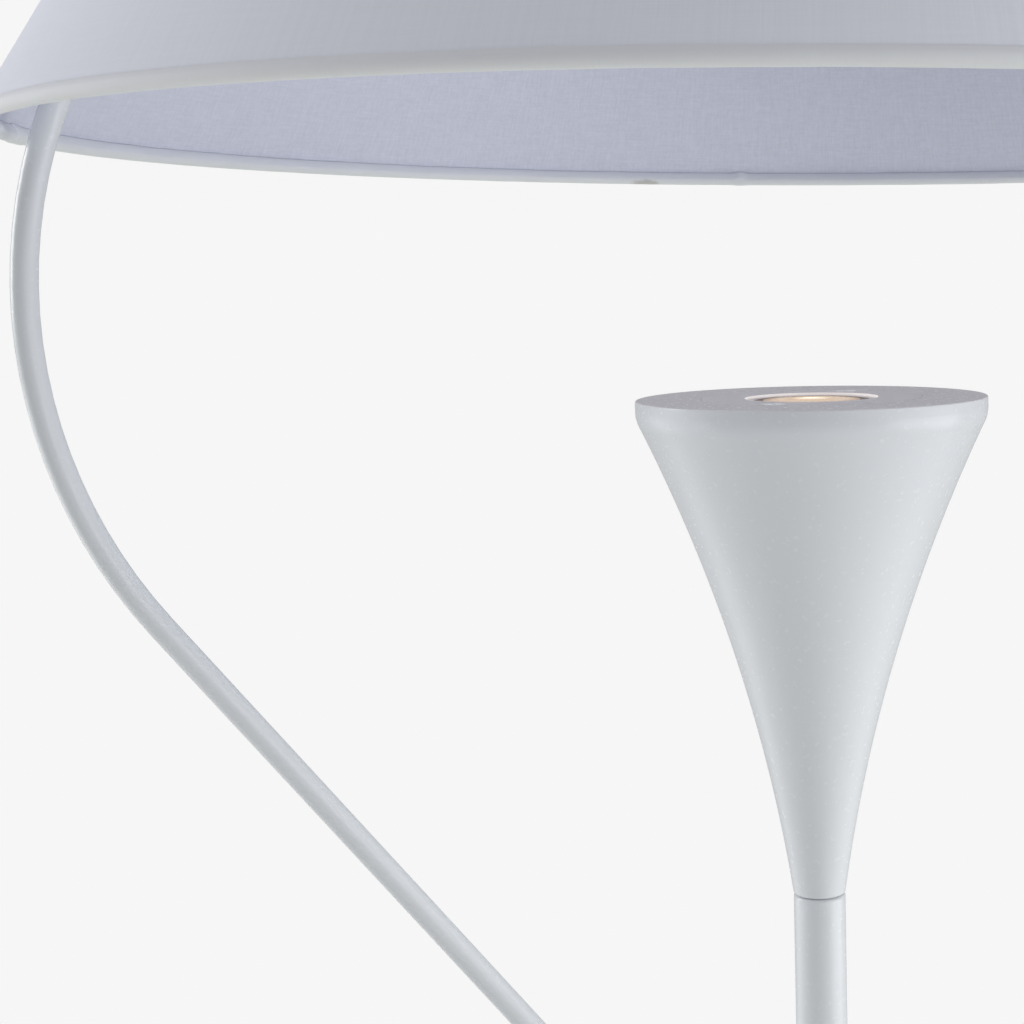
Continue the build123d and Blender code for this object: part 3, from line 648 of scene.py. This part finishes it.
def tape_cloth(is_lower):
    """Cotton tape over glue: a tight cross weave that has yellowed a little near the fold."""
    made, tree, shader = material("tape_cloth", TAPE_COLOUR, 0.72, Sheen_Weight=0.08, Sheen_Roughness=0.5)
    ribs = threads(tree, across=1300.0, along=240.0)
    patches = threads(tree, across=130.0, along=60.0)
    tint = spread(tree, patches, 0.35, 0.68, 0.0, 0.6)
    aged = blend_colours(tree, tint, tone(tree, TAPE_COLOUR, ribs, 0.03), TAPE_AGED)
    middle, way = (RIM_Z, 1.0) if is_lower else (CROWN_Z, -1.0)
    wavy = add(tree, own_height(tree), times(tree, patches, 0.0016))
    low, high = middle - way * TAPE_CLEAN_FROM[0], middle + way * TAPE_CLEAN_FROM[1]
    aged = blend_colours(tree, spread(tree, wavy, low, high, 0.0, 0.85), aged, TAPE_CLEAN)
    link_colour(tree, shader, stained(tree, aged) if is_lower else aged)
    link_relief(tree, shader, ribs, distance=0.00007, strength=0.5)
    return made


# ---- the optic's light ----------------------------------------------------------------------------
OPTIC_COLOUR = (0.30, 0.25, 0.20)
OPTIC_GLOW = 0.86
OPTIC_STOPS = [
    # share of the way to the bezel, colour of its light
    (0.00, (1.30, 1.24, 1.00)),
    (0.12, (1.34, 1.24, 0.98)),
    (0.24, (0.98, 0.80, 0.58)),
    (0.45, (0.60, 0.45, 0.32)),
    (0.66, (0.66, 0.52, 0.40)),
    (0.86, (0.50, 0.37, 0.27)),
    (1.00, (0.26, 0.19, 0.15)),
]
OPTIC_REACH = (0.0022, 0.0228)
HOT_SPOT = 0.0014         # the brightest place lies this far off the middle
HOT_SPOT_TURN = math.radians(76.7)


def optic():
    """Clear moulded plastic over a warm source: hot in the middle, amber towards the bezel."""
    made, tree, shader = material("optic", OPTIC_COLOUR, 0.30, IOR=1.49, Specular_IOR_Level=0.12)
    moved = vector_math(tree, "SUBTRACT", own_place(tree), around(HOT_SPOT, HOT_SPOT_TURN, 0.0))
    reach = length_of(tree, vector_math(tree, "MULTIPLY", moved, LEVEL))
    mottle = times(tree, spots(tree, 420.0, 3.0), 0.0045)
    ramp = node(tree, "ValToRGB", {0: spread(tree, add(tree, reach, mottle), *OPTIC_REACH)})
    scale = ramp.color_ramp.elements
    while len(scale) < len(OPTIC_STOPS):
        scale.new(0.5)
    for element, (position, colour) in zip(scale, OPTIC_STOPS):
        element.position = position
        element.color = (*colour, 1.0)
    tree.links.new(ramp.outputs["Color"], shader.inputs["Emission Color"])
    shader.inputs["Emission Strength"].default_value = OPTIC_GLOW
    return made


# ---- metal and plastic ----------------------------------------------------------------------------
def metal(name, colour, roughness):
    """Bare metal with fine turning or rolling marks."""
    made, tree, shader = material(name, colour, roughness, Metallic=1.0)
    drawn = vector_math(tree, "MULTIPLY", own_place(tree), (0.15, 0.15, 1.0))
    marks = spots(tree, 3600.0, 3.0, drawn)
    link_colour(tree, shader, tone(tree, colour, marks, 0.06))
    link_roughness(tree, shader, marks, roughness - 0.07, roughness + 0.1)
    link_relief(tree, shader, marks, distance=0.00001, strength=0.35)
    return made


def moulded(name, colour, roughness, grain=1100.0, relief=0.00002, **sockets):
    """Moulded plastic, rubber or ceramic with a fine mould texture."""
    made, tree, shader = material(name, colour, roughness, **sockets)
    skin = spots(tree, grain, 3.0)
    drift = spots(tree, 60.0)
    link_colour(tree, shader, tone(tree, colour, drift, 0.03))
    link_roughness(tree, shader, skin, roughness - 0.06, roughness + 0.06)
    link_relief(tree, shader, skin, relief, strength=0.5)
    return made


def dress_nodes():
    """Gives every carried-over CAD node its finish."""
    coat = paint("powder_coat", PAINT)
    # Painted light on the trumpet's flat top and the lid, and a painted glow on the lid's hole wall.
    trumpet_painted_top = paint("trumpet_coat_painted_top", PAINT, painted_top_height=TRUMPET_TOP)
    lid = paint("lid_coat_painted_light", TOP_PAINTED_LIGHT, LID_GLOSS, hole_glow=HOLE_GLOW)
    wire = paint("wire_coat", WIRE_PAINT, WIRE_GLOSS)
    zinc = metal("zinc_steel", (0.62, 0.64, 0.67), 0.32)
    # Painted highlight: the zinc screw heads get a near-white finish with sheen, standing in for their
    # glints.
    screw_glint_paint = moulded("screw_painted_glint", (0.93, 0.95, 0.98), 0.35, Sheen_Weight=0.9, Sheen_Roughness=0.3)
    aluminium = metal("turned_aluminium", (0.74, 0.75, 0.77), 0.27)
    brass = metal("pin_brass", (0.74, 0.60, 0.33), 0.28)
    rubber = moulded("grey_rubber", (0.52, 0.53, 0.54), 0.72, grain=700.0, relief=0.00004)
    nylon = moulded("grey_nylon", (0.60, 0.61, 0.62), 0.5)
    clear = moulded("clear_nylon", (0.78, 0.78, 0.76), 0.35, Subsurface_Weight=0.2)
    # Painted shade: the lamp's housing is dark warm brown, standing in for shade and the lamp's warm
    # light in the gap round the optic.
    housing_painted_shade = moulded("lamp_housing", (0.34, 0.24, 0.19), 0.5)
    ceramic = moulded("socket_ceramic", (0.80, 0.78, 0.73), 0.3, grain=500.0)
    sheath = moulded("cable_sheath", (0.72, 0.73, 0.73), 0.45)
    button = moulded("button_plastic", (0.72, 0.735, 0.75), 0.33, grain=1500.0, relief=0.000008)
    tape = tape_cloth(False)
    finishes = [
        (coat, ["stem_tube", "hub_body", "hub_base", "arm_rod", "arm_head", "shade_nut",
                "leg_1", "leg_2", "leg_3"]),
        (trumpet_painted_top, ["trumpet_shell"]),
        (lid, ["lamp_cover"]),
        (wire, ["spider", "top_ring", "bottom_ring"]),
        (zinc, ["lamp_strap", "neck_nut", "hub_screws", "grub_screws", "holder_screws"]),
        (screw_glint_paint, ["cover_screws"]),
        (aluminium, ["neck_plug", "button_bezel"]),
        (brass, ["lamp_pins"]),
        (rubber, ["foot_tip_1", "foot_tip_2", "foot_tip_3"]),
        (nylon, ["cord_gland", "dimmer_module", "terminal_block"]),
        (clear, ["shade_washers"]),
        (housing_painted_shade, ["lamp_body"]),
        (ceramic, ["lamp_holder"]),
        (sheath, ["stem_cable"]),
        (button, ["dimmer_button"]),
        (tape, ["seam_tape"]),
    ]
    for finish, names in finishes:
        for name in names:
            for place in frame["nodes"][name].material_slots:
                place.material = finish


# ---- studio ---------------------------------------------------------------------------------------
PAPER = 0.922             # the backdrop's brightness
WHITE = (1.0, 1.0, 1.0, 1.0)
FLOOR_R = 2.3
FLOOR_SIDES = 96
FLOOR_COLOUR = (0.84, 0.84, 0.84)
FLOOR_FADE = (0.6, FLOOR_R - 0.1)
SKY_LEFT = 0.2155
SKY_RIGHT = 0.4445
LIGHT_REACH = 2.6
LIGHT_TARGET = Vector((0.0, 0.0, 1.2))
LIGHTS = [
    # name, direction from the lamp (turn clockwise from the viewer's side, degrees), height, width,
    # tall, watts
    ("left_high_box", -97.0, 2.05, 1.4, 1.7, 34.7),
    ("left_low_box", -97.0, 0.45, 2.8, 1.2, 15.0),
    ("right_high_box", 79.0, 2.05, 1.4, 1.7, 9.4),
    ("right_low_box", 79.0, 0.45, 2.8, 1.2, 24.0),
    ("front_box", 40.0, 2.05, 1.4, 1.7, 11.2),
]


def make_floor():
    """A round pale floor that fades into the backdrop towards its edge and is clear from below."""
    rim = [around(FLOOR_R, 2 * math.pi * i / FLOOR_SIDES, 0.0) for i in range(FLOOR_SIDES)]
    faces = [(0, 1 + i, 1 + (i + 1) % FLOOR_SIDES) for i in range(FLOOR_SIDES)]
    mesh = bpy.data.meshes.new("floor")
    mesh.from_pydata([(0.0, 0.0, 0.0)] + rim, [], faces)
    made, tree, shader = material("floor", FLOOR_COLOUR, 0.7)
    reach = length_of(tree, own_place(tree))
    fade = node(tree, "MapRange", {"Value": reach, "From Min": FLOOR_FADE[0], "From Max": FLOOR_FADE[1]},
                interpolation_type="SMOOTHSTEP").outputs[0]
    glow = node(tree, "Emission", {"Color": (PAPER, PAPER, PAPER, 1.0), "Strength": 1.0})
    joined = node(tree, "MixShader", {0: fade, 1: shader.outputs[0], 2: glow.outputs[0]})
    below = node(tree, "NewGeometry").outputs["Backfacing"]
    clear = node(tree, "BsdfTransparent").outputs[0]
    one_sided = node(tree, "MixShader", {0: below, 1: joined.outputs[0], 2: clear})
    tree.links.new(one_sided.outputs[0], tree.nodes["Material Output"].inputs["Surface"])
    mesh.materials.append(made)
    floor = bpy.data.objects.new("floor", mesh)
    bpy.context.scene.collection.objects.link(floor)


def make_sky():
    """Even white paper to look at, and soft light that grows towards the viewer's right."""
    world = bpy.data.worlds.new("studio")
    bpy.context.scene.world = world
    world.use_nodes = True
    tree = world.node_tree
    tree.nodes.clear()
    direction = node(tree, "TexCoord").outputs["Generated"]
    right = (math.cos(CAMERA_TURN), -math.sin(CAMERA_TURN), 0.0)
    toward = node(tree, "VectorMath", {0: direction, 1: right}, operation="DOT_PRODUCT").outputs["Value"]
    level = spread(tree, toward, -1.0, 1.0, SKY_LEFT, SKY_RIGHT)
    light = node(tree, "Background", {"Color": WHITE, "Strength": level})
    paper = node(tree, "Background", {"Color": (PAPER, PAPER, PAPER, 1.0), "Strength": 1.0})
    seen = node(tree, "LightPath").outputs["Is Camera Ray"]
    both = node(tree, "MixShader", {0: seen, 1: light.outputs[0], 2: paper.outputs[0]})
    output = node(tree, "OutputWorld")
    tree.links.new(both.outputs[0], output.inputs["Surface"])


def make_lights():
    for name, turn, level, width, tall, power in LIGHTS:
        data = bpy.data.lights.new(name, "AREA")
        data.shape = "RECTANGLE"
        data.size, data.size_y = width, tall
        data.energy = power
        box = bpy.data.objects.new(name, data)
        bpy.context.scene.collection.objects.link(box)
        place = Vector(around(LIGHT_REACH, math.radians(turn) - CAMERA_TURN - math.pi / 2, level))
        aim = (LIGHT_TARGET - place).to_track_quat("-Z", "Y").to_matrix().to_4x4()
        box.matrix_world = Matrix.Translation(place) @ aim
        box.visible_camera = False


bpy.context.scene.view_settings.view_transform = "Standard"
make_camera()
make_shade()
make_optic()
dress_nodes()
make_floor()
make_sky()
make_lights()
